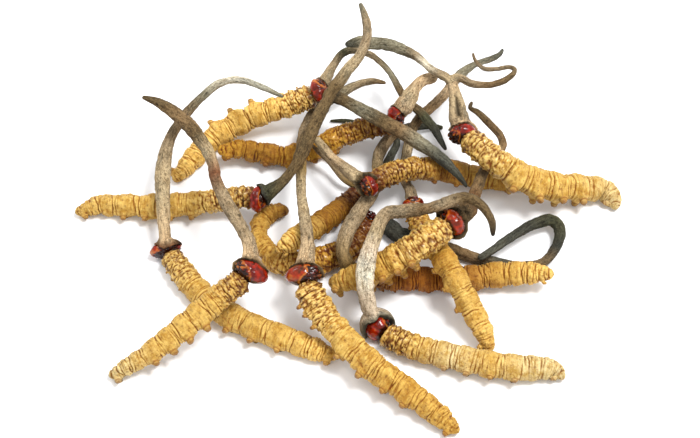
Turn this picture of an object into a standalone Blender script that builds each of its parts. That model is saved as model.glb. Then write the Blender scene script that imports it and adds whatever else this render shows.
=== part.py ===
"""A loose pile of fourteen dried cordyceps fungi, each a golden larva with a glossy head and a grey stalk.

A route runs away from the head: along a larva to its tail, or along a stalk to its tip. Each of its stations
holds a place in the photograph (pixels across and down), the height of the piece's middle above the table
and the piece's radius there (both in mm). The view below turns a place and a height into a point in space.
"""

import math

import bmesh
import bpy
from mathutils import Matrix, Vector

MM = 0.001
GAP = 0.3  # air between a larva and its head
STALK_GAP = 0.5  # air between a head and its stalk, which leaves the head at a slant

# The photograph's view, a long lens over the front edge of the table
PHOTO_MIDDLE = (350, 219)  # pixels
LENS_PIXELS = 700 * 105 / 36  # a 105 mm lens over a 36 mm sensor that is 700 pixels wide
EYE_TILT = math.radians(55)  # down from level
EYE_DISTANCE = 450.0  # mm to the point it looks at
EYE_AIM = 8.0  # mm, that point's height above the table
PILE_MIDDLE = (-0.31, 0.4)  # mm from that point to the middle of the pile

# A larva: segments like beads, pairs of short legs under its belly
LARVA_SIDES = 8
SEGMENT_ENDS = (0, 0.045, 0.095, 0.155, 0.22, 0.3, 0.42, 0.545, 0.67, 0.795, 0.88, 0.945, 1)
CROWN = 1.04  # radius in the middle of a segment, against the route's
CREASE = 0.93  # and between two segments
NECK = 0.8
TAIL_NUB = 0.5
LEG_SEGMENTS = (5, 6, 7, 8, 11)
LEG_SPREAD = 24.0  # degrees to either side of the belly
LEG_WIDTH = 24.0  # degrees

# A head: two round lobes side by side, sized against the route's first radius
HEAD_WIDE = 1.15
HEAD_TALL = 0.95
HEAD_DEEP = 0.8
HEAD_GROOVE = 0.12
HEAD_GROOVE_WIDTH = 0.25

STALK_SIDES = 6
STALK_STEP = 4.6  # mm between two rings of a stalk
CURVE_STEPS = 12  # points read between two stations

SPECIMENS = {
    "01": {
        "belly": 60, "leg": 0.45, "tone": "grey",
        "larva": [
            (166, 250, 2.5, 2.5), (173, 260, 2.5, 2.6), (190, 282, 2.5, 2.9), (215, 307, 2.5, 2.9),
            (250, 325, 2.5, 2.9), (290, 340, 2.4, 2.8), (316, 350, 2.1, 2.5), (335, 356, 1.5, 1.7),
        ],
        "stalks": {
            "": [
                (164, 242, 4.5, 1.6), (164, 225, 6.5, 1.5), (163, 200, 8, 1.65), (163, 172, 9.5, 1.75),
                (169, 141, 11, 1.2), (185, 115, 12.5, 1.1), (202, 97, 14, 0.9), (220, 83, 15.5, 0.9),
                (240, 80, 17.5, 0.9), (262, 87, 19, 0.8), (283, 97, 20.5, 0.35),
            ],
        },
    },
    "02": {
        "belly": -60, "leg": 0.6, "tone": "grey",
        "larva": [
            (251, 272, 12.5, 2.9), (238, 283, 11, 2.8), (215, 301, 9, 2.9), (190, 322, 7, 2.9),
            (165, 342, 5, 2.6), (140, 359, 3.5, 2.2), (112, 375, 1.4, 1.6),
        ],
        "stalks": {
            "": [
                (255, 262, 13.5, 2), (251, 248, 14, 1.7), (246, 236, 14.5, 1.6), (238, 222, 15, 1.6),
                (226, 202, 15.5, 1.6), (216, 180, 16, 1.35), (213, 164, 16.5, 1.25),
                (205, 147, 17, 1.4), (190, 126, 17.5, 1.6), (175, 113, 18, 1.5), (157, 102, 18.5, 1.1),
                (142, 97, 19, 0.4),
            ],
        },
    },
    "03": {
        "belly": 60, "leg": 0.6, "tone": "pale",
        "larva": [
            (300, 274, 11, 3.1), (304, 289, 10, 3), (320, 309, 8.5, 3.1), (340, 335, 7, 3.1),
            (366, 361, 5.5, 3), (400, 385, 4, 2.9), (430, 408, 2.8, 2.6), (456, 430, 1.5, 1.7),
        ],
        "stalks": {
            "": [
                (308, 263, 13.5, 2.1), (308, 250, 13, 1.8), (307, 234, 12.5, 1.5), (304, 214, 12, 1.4),
                (301, 192, 10.5, 1.2), (301, 168, 9, 1.15), (301, 148, 7.5, 1.1), (305, 130, 6, 1.2),
                (313, 114, 4.5, 1.2), (326, 102, 5, 1.2), (338, 95, 5.5, 1.2), (350, 88, 6, 1),
                (362, 83, 7, 0.9), (374, 81, 7.5, 0.8), (386, 83, 8, 0.4),
            ],
        },
    },
    "04": {
        "belly": -50, "leg": 0.35, "tone": "grey",
        "larva": [
            (259, 199, 7.5, 2.5), (248, 197, 6, 2.4), (228, 199, 4.5, 2.6), (200, 203, 3.5, 2.7),
            (165, 206, 2.9, 2.7), (125, 205, 2.4, 2.6), (98, 205, 2, 2.3), (78, 212, 1.5, 1.4),
        ],
        "stalks": {
            "": [
                (266, 196, 8, 2), (272, 190, 9, 1.6), (280, 184, 10.5, 1.2), (289, 174, 11.5, 1.05),
                (297, 163, 13, 1.25), (302, 152, 14.5, 1.45), (307, 140, 15.5, 1.5),
                (314, 126, 17, 1.35), (320, 114, 18, 1.35), (326, 103, 19, 1.4), (332, 91, 20.5, 1.45),
                (339, 82, 21.5, 1.45), (347, 71, 22.5, 1.4), (360, 55, 23.5, 1.3),
                (367, 37, 24.5, 1.1), (366, 20, 25.5, 0.9), (360, 3, 26.5, 0.4),
            ],
        },
    },
    "05": {
        "belly": 95, "leg": 0.6, "tone": "dark",
        "larva": [
            (320, 91, 11, 2.8), (308, 97, 9, 2.8), (285, 106, 7.5, 2.9), (255, 116, 5.5, 2.9),
            (228, 129, 4, 2.9), (207, 144, 2.8, 2.7), (190, 163, 2.1, 2.4), (176, 179, 1.4, 1.6),
        ],
        "stalks": {
            "upper": [
                (326, 78, 11, 1.4), (333, 66, 11, 1), (342, 54, 10.5, 0.9), (353, 50, 10.5, 0.9),
                (369, 54, 10, 0.8), (379, 61, 10, 0.8), (388, 70, 9.5, 0.8), (394, 79, 9.5, 0.8),
                (401, 92, 9, 0.9), (409, 103, 9, 1), (418, 110, 8.5, 1.1), (427, 120, 8.5, 1.05),
                (435, 130, 8, 0.9), (441, 141, 8, 0.7), (446, 150, 7.5, 0.35),
            ],
            "lower": [
                (331, 96, 13, 1.5), (345, 101, 13, 1.3), (362, 110, 13, 1.4), (380, 120, 13, 1.6),
                (400, 131, 12.5, 1.7), (424, 146, 11.5, 1.6), (443, 160, 10, 1.4), (457, 174, 9, 1),
                (467, 187, 7.5, 0.4),
            ],
        },
    },
    "06": {
        "belly": 60, "leg": 1, "tone": "pale",
        "larva": [
            (462, 134, 11, 2.7), (472, 142, 11.5, 2.9), (492, 158, 12, 3.2), (517, 175, 9.5, 3.3),
            (545, 185, 7, 3.3), (575, 187, 4.5, 3.1), (600, 189, 2.6, 2.8), (613, 197, 1.9, 2.2),
            (615, 207, 1.2, 1.4),
        ],
        "stalks": {
            "trunk": [
                (460, 122, 11, 1.9), (457, 112, 12, 1.8), (455, 100, 12.5, 1.5), (454, 91, 13.5, 1.35),
                (452, 82, 14.5, 1.2),
            ],
            "left": [
                (446, 77, 15, 1.1), (440, 74, 15, 1.15), (431, 69, 15.5, 1), (422, 61, 15.5, 1),
                (412, 54, 15.5, 1.1), (398, 48, 16, 1.35), (384, 44, 16, 1.45), (370, 43, 16.5, 1.45),
                (358, 42, 16.5, 1.3), (345, 45, 16.5, 0.5),
            ],
            "right": [
                (460, 78, 13.5, 0.9), (466, 81, 13.5, 0.9), (473, 84, 13.5, 0.85),
                (489, 85, 13.5, 0.75), (501, 82, 13.5, 0.8), (511, 76, 13.5, 0.75),
                (515, 70, 13.5, 0.6), (509, 67, 13.5, 0.5), (497, 69, 13.5, 0.5), (485, 69, 13.5, 0.5),
                (478, 64, 13.5, 0.4), (474, 58, 13.5, 0.35), (473, 53, 13.5, 0.25),
            ],
        },
    },
    "07": {
        "belly": -55, "leg": 0.6, "tone": "pale",
        "larva": [
            (396, 117, 10, 2.3), (385, 124, 8.5, 2.5), (362, 129, 6.5, 2.6), (340, 137, 4.5, 2.7),
            (315, 149, 2.2, 2.6), (288, 156, 2.2, 2.6), (260, 152, 3.2, 2.5), (240, 149, 4, 2.3),
            (221, 151, 5, 1.7),
        ],
        "stalks": {
            "": [
                (404, 107, 12, 1.6), (407, 102, 12, 1.6), (411, 95, 12, 1.45), (415, 88, 12, 1.2),
                (422, 81, 12, 1.05), (431, 78, 12, 0.9), (438, 77, 12, 0.7),
            ],
        },
    },
    "08": {
        "belly": 40, "leg": 0.4, "tone": "pale",
        "larva": [
            (369, 186, 11.5, 2.4), (382, 178, 9.5, 2.5), (403, 170, 8, 2.7), (430, 169, 6, 2.7),
            (458, 173, 4, 2.7), (485, 178, 2.3, 2.6), (512, 179, 2.1, 2.5), (538, 178, 1.9, 2.2),
            (560, 182, 1.6, 1.4),
        ],
        "stalks": {
            "": [
                (361, 180, 11.5, 1.8), (352, 174, 11, 1.65), (342, 166, 10, 1.4), (331, 157, 9.5, 1.1),
                (323, 147, 8.5, 1), (316, 139, 7.5, 0.95),
            ],
        },
    },
    "09": {
        "belly": 60, "leg": 0.5, "tone": "pale",
        "larva": [
            (378, 327, 2.3, 2.7), (391, 337, 2.5, 2.8), (415, 347, 2.8, 2.9), (445, 355, 3, 2.9),
            (478, 362, 3, 2.9), (512, 367, 2.8, 2.9), (538, 368, 2.3, 2.7), (555, 370, 1.9, 2.2),
            (562, 377, 1.4, 1.4),
        ],
        "stalks": {
            "": [
                (371, 318, 4.5, 1.5), (368, 306, 7.5, 1.7), (366, 291, 10.5, 1.75),
                (365, 275, 13.5, 1.8), (368, 256, 16, 1.85), (374, 238, 16.5, 1.6),
                (380, 222, 16.5, 1.45), (388, 213, 17, 1.4), (403, 211, 17.5, 1.45),
                (418, 210, 18, 1.4), (434, 207, 18.5, 1.4), (449, 202, 19, 1.5), (461, 198, 19.5, 1.5),
                (472, 199, 20, 1.3), (480, 204, 20.5, 1.05), (487, 212, 21, 0.9),
                (492, 222, 21.5, 0.75), (493, 236, 21.5, 0.35),
            ],
        },
    },
    "10": {
        "belly": -75, "leg": 0.8, "tone": "grey",
        "larva": [
            (452, 222, 15, 2.5), (442, 230, 15, 2.9), (425, 241, 15, 3.3), (403, 254, 13, 3.3),
            (382, 266, 10.5, 3.2), (360, 276, 8.5, 2.9), (336, 285, 6, 2.2),
        ],
        "stalks": {
            "": [
                (465, 239, 15, 1.4), (470, 226, 13.5, 1.3), (472, 212, 12, 1.3), (475, 198, 10.5, 1.4),
                (478, 186, 9, 1.45), (482, 175, 7, 1.3), (489, 164, 7, 1.1), (497, 154, 6.5, 1),
                (503, 145, 6, 0.9), (500, 135, 6, 0.85), (493, 127, 5.5, 0.85), (485, 119, 5, 0.8),
                (477, 112, 4.5, 0.7), (470, 108, 4.5, 0.5), (472, 102, 4, 0.3),
            ],
        },
    },
    "11": {
        "belly": 45, "leg": 0.4, "tone": "grey",
        "larva": [
            (413, 205, 4.5, 2.3), (417, 217, 6, 2.4), (428, 237, 7.5, 2.6), (443, 258, 9, 2.7),
            (457, 282, 8.5, 2.7), (470, 305, 6, 2.6), (482, 328, 4, 2.4), (490, 348, 1.5, 1.7),
        ],
        "stalks": {
            "": [
                (415, 197, 5, 1.6), (409, 188, 2.5, 1.35), (404, 178, 2.5, 1.3), (405, 165, 3.5, 1.35),
                (408, 147, 4.5, 1.3), (412, 131, 5, 1.2), (419, 119, 5.5, 1.2), (429, 109, 5.5, 1.15),
                (437, 102, 5.5, 1.15), (446, 93, 5.5, 1.15), (455, 80, 5.5, 1.1), (466, 70, 5, 0.95),
                (476, 64, 5, 0.7), (488, 60, 5, 0.7), (499, 55, 5, 0.6), (503, 49, 5, 0.35),
            ],
        },
    },
    "12": {
        "belly": 30, "leg": 0, "tone": "pale",
        "larva": [
            (352, 274, 3.5, 2.2), (363, 276, 3, 2.5), (385, 278, 2.4, 2.7), (412, 279, 2.4, 2.8),
            (440, 279, 2.4, 2.8), (470, 278, 3.1, 2.8), (500, 274, 3.5, 2.8), (530, 273, 4.5, 2.6),
            (550, 274, 5, 1.9),
        ],
        "stalks": {
            "": [
                (341, 264, 6, 1.8), (342, 252, 7.5, 1.7), (348, 230, 8, 1.7), (360, 210, 7, 1.6),
                (372, 193, 5.5, 1.4), (377, 175, 4, 1.3), (378, 158, 4, 1.3), (384, 145, 4, 1.3),
                (397, 132, 3.5, 1.2), (412, 127, 2.5, 1.1), (428, 126, 1.5, 0.9), (443, 128, 0.5, 0.5),
            ],
            "branch": [
                (392, 167, 1, 1), (394, 155, 1, 1), (396, 143, 1, 0.9), (388, 132, 1, 0.8),
                (365, 125, 1, 0.7), (345, 121, 0.5, 0.5), (330, 121, 0.5, 0.25),
            ],
        },
    },
    "13": {
        "belly": -40, "leg": 0.4, "tone": "dark",
        "larva": [
            (369, 219, 1.9, 2.2), (362, 234, 2.2, 2.6), (350, 248, 2.5, 2.9), (328, 258, 2.6, 3),
            (303, 264, 2.6, 3), (282, 262, 2.4, 2.8), (267, 250, 2.2, 2.5), (260, 236, 2, 2.2),
            (261, 222, 2, 2.3), (272, 212, 2, 2.3), (285, 211, 1.6, 1.9),
        ],
        "stalks": {
            "": [
                (385, 220, 2, 1.7), (391, 227, 2, 1.85), (397, 234, 2, 1.85), (412, 240, 2, 1.8),
                (432, 246, 2, 1.7), (456, 252, 1.5, 1.45), (468, 256, 1.5, 1.35), (483, 260, 1.5, 1.3),
                (500, 263, 1.5, 1.25), (522, 266, 1, 1.2), (542, 263, 1.5, 1.2), (555, 249, 2, 1.2),
                (560, 231, 2.5, 1.25), (551, 220, 3, 1.3), (530, 226, 3.5, 1.1), (507, 240, 4, 1),
                (490, 252, 4.5, 0.9), (478, 259, 4, 0.75),
            ],
        },
    },
    "14": {
        "belly": -30, "leg": 0, "tone": "pale",
        "larva": [
            (361, 189, 1.8, 2.1), (353, 198, 2.1, 2.4), (340, 209, 2.2, 2.5), (322, 222, 4.5, 2.6),
            (303, 234, 7, 2.6), (290, 242, 8.5, 2.4), (279, 249, 8, 1.8),
        ],
        "stalks": {
            "": [
                (352, 185, 2, 0.9), (343, 179, 3, 0.8), (336, 170, 3.5, 0.7), (327, 159, 4.5, 0.65),
                (319, 152, 5, 0.6), (312, 145, 6, 0.3),
            ],
        },
    },
}

# sRGB colours as fractions, with roughness
FINISHES = {
    "larva": ((0.80, 0.60, 0.30), 0.75),
    "head": ((0.52, 0.08, 0.04), 0.25),
    "stalk_pale": ((0.60, 0.55, 0.45), 0.85),
    "stalk_grey": ((0.42, 0.39, 0.31), 0.85),
    "stalk_dark": ((0.20, 0.21, 0.17), 0.85),
}


def clear_scene():
    for old in list(bpy.data.objects):
        bpy.data.objects.remove(old, do_unlink=True)


def linear(part):
    """A linear colour value from an sRGB one."""
    return part / 12.92 if part <= 0.04045 else ((part + 0.055) / 1.055) ** 2.4


def make_material(name, colour, roughness):
    material = bpy.data.materials.new(name)
    material.use_nodes = True
    shader = material.node_tree.nodes["Principled BSDF"]
    shader.inputs["Base Color"].default_value = (*[linear(part) for part in colour], 1)
    shader.inputs["Roughness"].default_value = roughness
    shader.inputs["Metallic"].default_value = 0
    return material


def place(across, down, height):
    """The point, in mm, that the photograph shows at this pixel when it is this high above the table."""
    right = (across - PHOTO_MIDDLE[0]) / LENS_PIXELS
    up = (PHOTO_MIDDLE[1] - down) / LENS_PIXELS
    sine, cosine = math.sin(EYE_TILT), math.cos(EYE_TILT)
    rise = height - EYE_AIM
    away = (up * (EYE_DISTANCE - rise * sine) - rise * cosine) / (sine - up * cosine)
    depth = EYE_DISTANCE + away * cosine - rise * sine
    return Vector((right * depth - PILE_MIDDLE[0], away - PILE_MIDDLE[1], height))


def between(before, start, end, after, part):
    """A point on the smooth curve from start to end."""
    bend = 2 * start + (end - before) * part
    bend += (2 * before - 5 * start + 4 * end - after) * part**2
    bend += (3 * start - before - 3 * end + after) * part**3
    return bend / 2


def smooth_curve(stations):
    """Points of four numbers, x, y, z and radius in mm, close together along a route."""
    marks = [Vector((*place(across, down, height), radius)) for across, down, height, radius in stations]
    marks = [marks[0], *marks, marks[-1]]
    curve = []
    for before, start, end, after in zip(marks, marks[1:], marks[2:], marks[3:]):
        for step in range(CURVE_STEPS):
            curve.append(between(before, start, end, after, step / CURVE_STEPS))
    curve.append(marks[-1])
    return curve


def clear_of(curve, centre, distance):
    """The curve from where it is this far from the centre."""
    first = next(i for i, point in enumerate(curve) if (point.xyz - centre).length >= distance)
    return curve[first:]


def spread(curve, parts):
    """Points on the curve at these parts of its length."""
    reach = [0.0]
    for here, following in zip(curve, curve[1:]):
        reach.append(reach[-1] + (following.xyz - here.xyz).length)
    points = []
    index = 0
    for share in parts:
        target = reach[-1] * share
        while index < len(curve) - 2 and reach[index + 1] < target:
            index += 1
        part = (target - reach[index]) / (reach[index + 1] - reach[index])
        points.append(curve[index].lerp(curve[index + 1], min(part, 1.0)))
    return points


def directions(points):
    """The way the route runs at each of its points."""
    ahead = [*points[1:], points[-1]]
    behind = [points[0], *points[:-1]]
    return [(after.xyz - before.xyz).normalized() for before, after in zip(behind, ahead)]


def loft(name, rings, material):
    """A closed body through the rings, every one with the same number of points in mm."""
    mesh = bpy.data.meshes.new(name)
    build = bmesh.new()
    made = [[build.verts.new(point * MM) for point in ring] for ring in rings]
    sides = len(rings[0])
    for near, far in zip(made, made[1:]):
        for side in range(sides):
            after = (side + 1) % sides
            build.faces.new((near[side], near[after], far[after], far[side]))
    build.faces.new(made[0])
    build.faces.new(made[-1])
    bmesh.ops.recalc_face_normals(build, faces=build.faces)
    build.to_mesh(mesh)
    build.free()
    return add_object(name, mesh, material)


def add_object(name, mesh, material):
    mesh.shade_smooth()
    mesh.set_sharp_from_angle(angle=math.radians(50))
    mesh.materials.append(material)
    piece = bpy.data.objects.new(name, mesh)
    bpy.context.scene.collection.objects.link(piece)
    return piece


def leg_bump(angle, belly):
    """How much of a leg's height stands at this angle round the body, in degrees from straight down."""
    left = math.exp(-(((angle - belly + LEG_SPREAD) / LEG_WIDTH) ** 2))
    right = math.exp(-(((angle - belly - LEG_SPREAD) / LEG_WIDTH) ** 2))
    return left + right


def larva_ring(point, ahead, scale, leg, belly):
    """A ring of a larva, no lower than the table: flat below where the larva rests on it."""
    side = ahead.cross(Vector((0, 0, 1))).normalized()
    up = side.cross(ahead)
    ring = []
    for step in range(LARVA_SIDES):
        angle = (step + 0.5) * 360 / LARVA_SIDES - 180
        radius = point.w * scale + leg * leg_bump(angle, belly)
        turn = math.radians(angle)
        spot = point.xyz + (side * math.sin(turn) - up * math.cos(turn)) * radius
        spot.z = max(spot.z, 0.0)
        ring.append(spot)
    return ring


def make_larva(name, specimen, material):
    stations = specimen["larva"]
    centre, head_radius = place(*stations[0][:3]), stations[0][3]
    curve = clear_of(smooth_curve(stations), centre, HEAD_DEEP * head_radius + GAP)
    parts = [0.0]
    for start, end in zip(SEGMENT_ENDS, SEGMENT_ENDS[1:]):
        parts += [(start + end) / 2, end]
    points = spread(curve, parts)
    ways = directions(points)
    broadest = max(point.w for point in points)
    rings = []
    for index, (point, ahead) in enumerate(zip(points, ways)):
        crown = index % 2 == 1
        leg = specimen["leg"] * point.w / broadest if crown and index // 2 in LEG_SEGMENTS else 0
        scale = NECK if index == 0 else CROWN if crown else CREASE
        rings.append(larva_ring(point, ahead, scale, leg, specimen["belly"]))
    nub = points[-1].copy()
    nub.xyz += ways[-1] * nub.w * TAIL_NUB
    rings.append(larva_ring(nub, ways[-1], TAIL_NUB, 0, 0))
    return loft(name, rings, material)


def make_head(name, specimen, material):
    """Two lobes side by side across the end of the larva, with a shallow groove between them."""
    stations = specimen["larva"]
    curve = smooth_curve(stations)
    radius = stations[0][3]
    ahead = (curve[CURVE_STEPS].xyz - curve[0].xyz).normalized()
    side = ahead.cross(Vector((0, 0, 1))).normalized()
    up = side.cross(ahead)
    turn = math.radians(specimen["belly"])
    belly = side * math.sin(turn) - up * math.cos(turn)
    across = ahead.cross(belly)
    mesh = bpy.data.meshes.new(name)
    build = bmesh.new()
    bmesh.ops.create_uvsphere(build, u_segments=9, v_segments=6, radius=1)
    for vert in build.verts:
        groove = 1 - HEAD_GROOVE * math.exp(-((vert.co.x / HEAD_GROOVE_WIDTH) ** 2))
        vert.co.y *= groove * HEAD_TALL
        vert.co.z *= groove * HEAD_DEEP
        vert.co.x *= HEAD_WIDE
    turned = Matrix((across, belly, ahead)).transposed().to_4x4()
    bmesh.ops.transform(build, matrix=turned, verts=build.verts)
    for vert in build.verts:
        spot = curve[0].xyz + vert.co * radius
        spot.z = max(spot.z, 0.0)
        vert.co = spot * MM
    bmesh.ops.recalc_face_normals(build, faces=build.faces)
    build.to_mesh(mesh)
    build.free()
    return add_object(name, mesh, material)


def make_stalk(name, stations, curve, material):
    length = sum((b.xyz - a.xyz).length for a, b in zip(curve, curve[1:]))
    spans = max(4, round(length / STALK_STEP))
    points = spread(curve, [step / spans for step in range(spans + 1)])
    ways = directions(points)
    side = ways[0].orthogonal().normalized()
    rings = []
    for index, (point, ahead) in enumerate(zip(points, ways)):
        if index:
            side = ways[index - 1].rotation_difference(ahead) @ side
        over = ahead.cross(side)
        ring = []
        for step in range(STALK_SIDES):
            turn = math.tau * step / STALK_SIDES
            spot = point.xyz + (side * math.cos(turn) + over * math.sin(turn)) * point.w
            spot.z = max(spot.z, 0.0)
            ring.append(spot)
        rings.append(ring)
    return loft(name, rings, material)


def make_specimen(number, specimen, materials):
    make_larva(f"larva_{number}", specimen, materials["larva"])
    make_head(f"head_{number}", specimen, materials["head"])
    first = specimen["larva"][0]
    centre = place(*first[:3])
    for part, stations in specimen["stalks"].items():
        name = f"stalk_{number}_{part}" if part else f"stalk_{number}"
        curve = clear_of(smooth_curve(stations), centre, HEAD_WIDE * first[3] + STALK_GAP)
        make_stalk(name, stations, curve, materials[f"stalk_{specimen['tone']}"])


clear_scene()
finishes = {name: make_material(name, *finish) for name, finish in FINISHES.items()}
for number, specimen in SPECIMENS.items():
    make_specimen(number, specimen, finishes)
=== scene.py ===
from math import cos, pi, radians, sin

import bpy
import numpy as np
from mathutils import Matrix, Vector


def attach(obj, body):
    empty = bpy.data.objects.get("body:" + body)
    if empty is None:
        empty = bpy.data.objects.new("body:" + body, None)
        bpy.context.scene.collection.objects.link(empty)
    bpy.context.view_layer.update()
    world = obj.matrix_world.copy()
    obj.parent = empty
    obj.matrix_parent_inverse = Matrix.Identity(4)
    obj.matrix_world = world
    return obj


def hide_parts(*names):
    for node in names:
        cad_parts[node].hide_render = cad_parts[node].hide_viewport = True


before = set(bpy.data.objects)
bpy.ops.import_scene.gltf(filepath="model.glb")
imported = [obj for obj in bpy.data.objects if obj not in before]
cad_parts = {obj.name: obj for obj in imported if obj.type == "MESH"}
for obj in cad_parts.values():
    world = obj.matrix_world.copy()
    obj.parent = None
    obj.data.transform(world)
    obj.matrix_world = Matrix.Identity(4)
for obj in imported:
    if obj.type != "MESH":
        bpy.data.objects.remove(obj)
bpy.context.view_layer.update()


# ---- The larvae ----
# Fourteen dried moth larvae, each a tough golden skin packed hard with the fungus's threads. Drying drew
# the skin in between its segments in sharp ring folds, and left eight pairs of legs, three with claws.

MM = 0.001

# The photograph's view, which turns a station of a route into a point in space. A station is pixels
# across and down, and the height of the piece's middle and its radius there, both in mm.
PHOTO_MIDDLE = (350, 219)
LENS, FILM_WIDTH, PHOTO_WIDTH = 105, 36, 700
LENS_PIXELS = PHOTO_WIDTH * LENS / FILM_WIDTH
EYE_TILT = radians(55)
EYE_DISTANCE = 450.0
EYE_AIM = 8.0
PILE_MIDDLE = (-0.31, 0.4)
CURVE_STEPS = 12

LARVAE = {}


def add_larva(number, tones, *route, **traits):
    """A larva's colours and stations from head to tail, and its traits.

    belly is the way that the legs face, in degrees round from straight down, and leg their height in mm.
    folds and lumps scale the ring folds and swellings, rough is the share of the length that is crumpled,
    dark how much painted shade the deep gaps of that get, claw the front legs' height in mm, and neck where
    the skin starts. head is half the head's size across, through and along, by the first radius, tilt its
    turn in the picture, mask the way that its dark mask faces there, edge how little that covers and glow
    how bright the horn is.
    """
    usual = dict(folds=1, tilt=0, dark=0.5, claw=0.35, neck=-0.2, glow=0)
    LARVAE[number] = {**usual, **traits, "tones": tones.split(), "route": route}


add_larva(
    "01", "tan tan tan wheat", (166, 250, 2.5, 2.5), (173, 260, 2.5, 2.6), (190, 282, 2.5, 2.9),
    (215, 307, 2.5, 2.9), (250, 325, 2.5, 2.9), (290, 340, 2.4, 2.8), (316, 350, 2.1, 2.5),
    (335, 356, 1.5, 1.7),
    belly=60, leg=1.3, lumps=1, rough=0.2, head=(1.42, 0.95, 0.7), tilt=-25, mask=-35, edge=-0.4,
)
add_larva(
    "02", "gold tan tan straw", (251, 272, 12.5, 2.9), (238, 283, 11, 2.8), (215, 301, 9, 2.9),
    (190, 322, 7, 2.9), (165, 342, 5, 2.6), (140, 359, 3.5, 2.2), (112, 375, 1.4, 1.6),
    belly=-60, leg=1.6, folds=1.1, lumps=0.7, rough=0.2, dark=0.7, head=(1.32, 1, 0.78), tilt=25, mask=200,
    edge=0.4,
)
add_larva(
    "03", "wheat tan gold gold", (304, 275, 11, 3.1), (308, 289, 10, 3), (320, 309, 8.5, 3.1),
    (340, 335, 7, 3.1), (366, 361, 5.5, 3), (400, 385, 4, 2.9), (430, 408, 2.8, 2.6), (456, 430, 1.5, 1.7),
    belly=60, leg=1.4, lumps=2.4, rough=0.27, claw=1.2, head=(1.3, 0.95, 0.75), tilt=-12, mask=-25,
    edge=0.15, glow=0.25,
)
add_larva(
    "04", "gold tan tan tan tan", (259, 199, 7.5, 2.5), (248, 197, 6, 2.4), (228, 199, 4.5, 2.6),
    (200, 203, 3.5, 2.7), (165, 206, 2.9, 2.7), (125, 205, 2.4, 2.6), (98, 205, 2, 2.3), (78, 212, 1.5, 1.4),
    belly=-50, leg=1.2, lumps=2, rough=0.32, dark=0.8, head=(1.2, 1, 0.7), mask=0, edge=0.3,
)
add_larva(
    "05", "wheat wheat", (320, 91, 11, 2.8), (308, 97, 9, 2.8), (285, 106, 7.5, 2.9),
    (255, 116, 5.5, 2.9), (228, 129, 4, 2.9), (207, 144, 2.8, 2.7), (190, 163, 2.1, 2.4),
    (176, 179, 1.4, 1.6),
    belly=95, leg=1.2, folds=1.3, lumps=1.4, rough=0.2, head=(1.12, 0.95, 0.66), mask=75, edge=0.8,
    glow=0.22,
)
add_larva(
    "06", "tan tan tan straw", (462, 134, 11, 2.7), (472, 142, 11.5, 2.9), (492, 158, 12, 3.2),
    (517, 175, 9.5, 3.3), (545, 185, 7, 3.3), (575, 187, 4.5, 3.1), (600, 189, 2.6, 2.8),
    (613, 197, 1.9, 2.2), (615, 207, 1.2, 1.4),
    belly=60, leg=1.8, lumps=1.7, rough=0.3, head=(1.2, 1, 0.8), tilt=-35, mask=200, edge=0.6,
)
add_larva(
    "07", "amber honey honey amber honey", (396, 117, 10, 2.3), (385, 124, 8.5, 2.5), (362, 129, 6.5, 2.6),
    (340, 137, 4.5, 2.7), (315, 149, 2.2, 2.6), (288, 156, 2.2, 2.6), (260, 152, 3.2, 2.5),
    (240, 149, 4, 2.3), (221, 151, 5, 1.7),
    belly=-55, leg=1.1, folds=1.3, lumps=2.2, rough=0.4, head=(1.1, 1, 0.8), mask=-40, edge=0.4,
)
add_larva(
    "08", "amber gold amber gold gold tan", (369, 186, 11.5, 2.4), (382, 178, 9.5, 2.5), (403, 170, 8, 2.7),
    (430, 169, 6, 2.7), (458, 173, 4, 2.7), (485, 178, 2.3, 2.6), (512, 179, 2.1, 2.5), (538, 178, 1.9, 2.2),
    (560, 182, 1.6, 1.4),
    belly=40, leg=0.7, lumps=1.1, rough=0.36, dark=1.2, head=(1, 0.85, 0.75), mask=200, edge=0.1,
)
add_larva(
    "09", "gold tan straw tan straw straw", (378, 327, 2.3, 2.7), (391, 337, 2.5, 2.8), (415, 347, 2.8, 2.9),
    (445, 355, 3, 2.9), (478, 362, 3, 2.9), (512, 367, 2.8, 2.9), (538, 368, 2.3, 2.7), (555, 370, 1.9, 2.2),
    (562, 377, 1.4, 1.4),
    belly=60, leg=1, folds=1.1, lumps=0.7, rough=0.19, dark=0.7, neck=0.15, head=(1.12, 1.1, 1.05), mask=30,
    edge=0.9,
)
add_larva(
    "10", "wheat tan gold gold tan", (452, 222, 15, 2.5), (442, 230, 15, 2.9), (425, 241, 15, 3.3),
    (403, 254, 13, 3.3), (382, 266, 10.5, 3.2), (360, 276, 8.5, 2.9), (333, 283, 6, 2.2),
    belly=-75, leg=1.6, folds=0.9, lumps=1.5, rough=0.5, dark=0.4, head=(1.3, 1.1, 0.85), mask=150, edge=0.9,
    glow=0.24,
)
add_larva(
    "11", "gold honey tan wheat", (413, 205, 4.5, 2.3), (417, 217, 6, 2.4), (428, 237, 7.5, 2.6),
    (443, 258, 9, 2.7), (457, 282, 8.5, 2.7), (470, 305, 6, 2.6), (482, 328, 4, 2.4), (490, 348, 1.5, 1.7),
    belly=45, leg=1, folds=0.8, lumps=1.2, rough=0.24, dark=0.8, head=(1.1, 0.9, 0.75), mask=90, edge=0.6,
)
add_larva(
    "12", "amber russet russet gold wheat", (352, 274, 3.5, 2.2), (363, 276, 3, 2.5), (385, 278, 2.4, 2.7),
    (412, 279, 2.4, 2.8), (440, 279, 2.4, 2.8), (470, 278, 3.1, 2.8), (500, 274, 3.5, 2.8),
    (530, 273, 4.5, 2.6), (550, 274, 5, 1.9),
    belly=30, leg=0.3, folds=1.5, lumps=0.9, rough=0.15, dark=0.9, head=(1.1, 1, 0.8), mask=0, edge=0.5,
)
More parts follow.
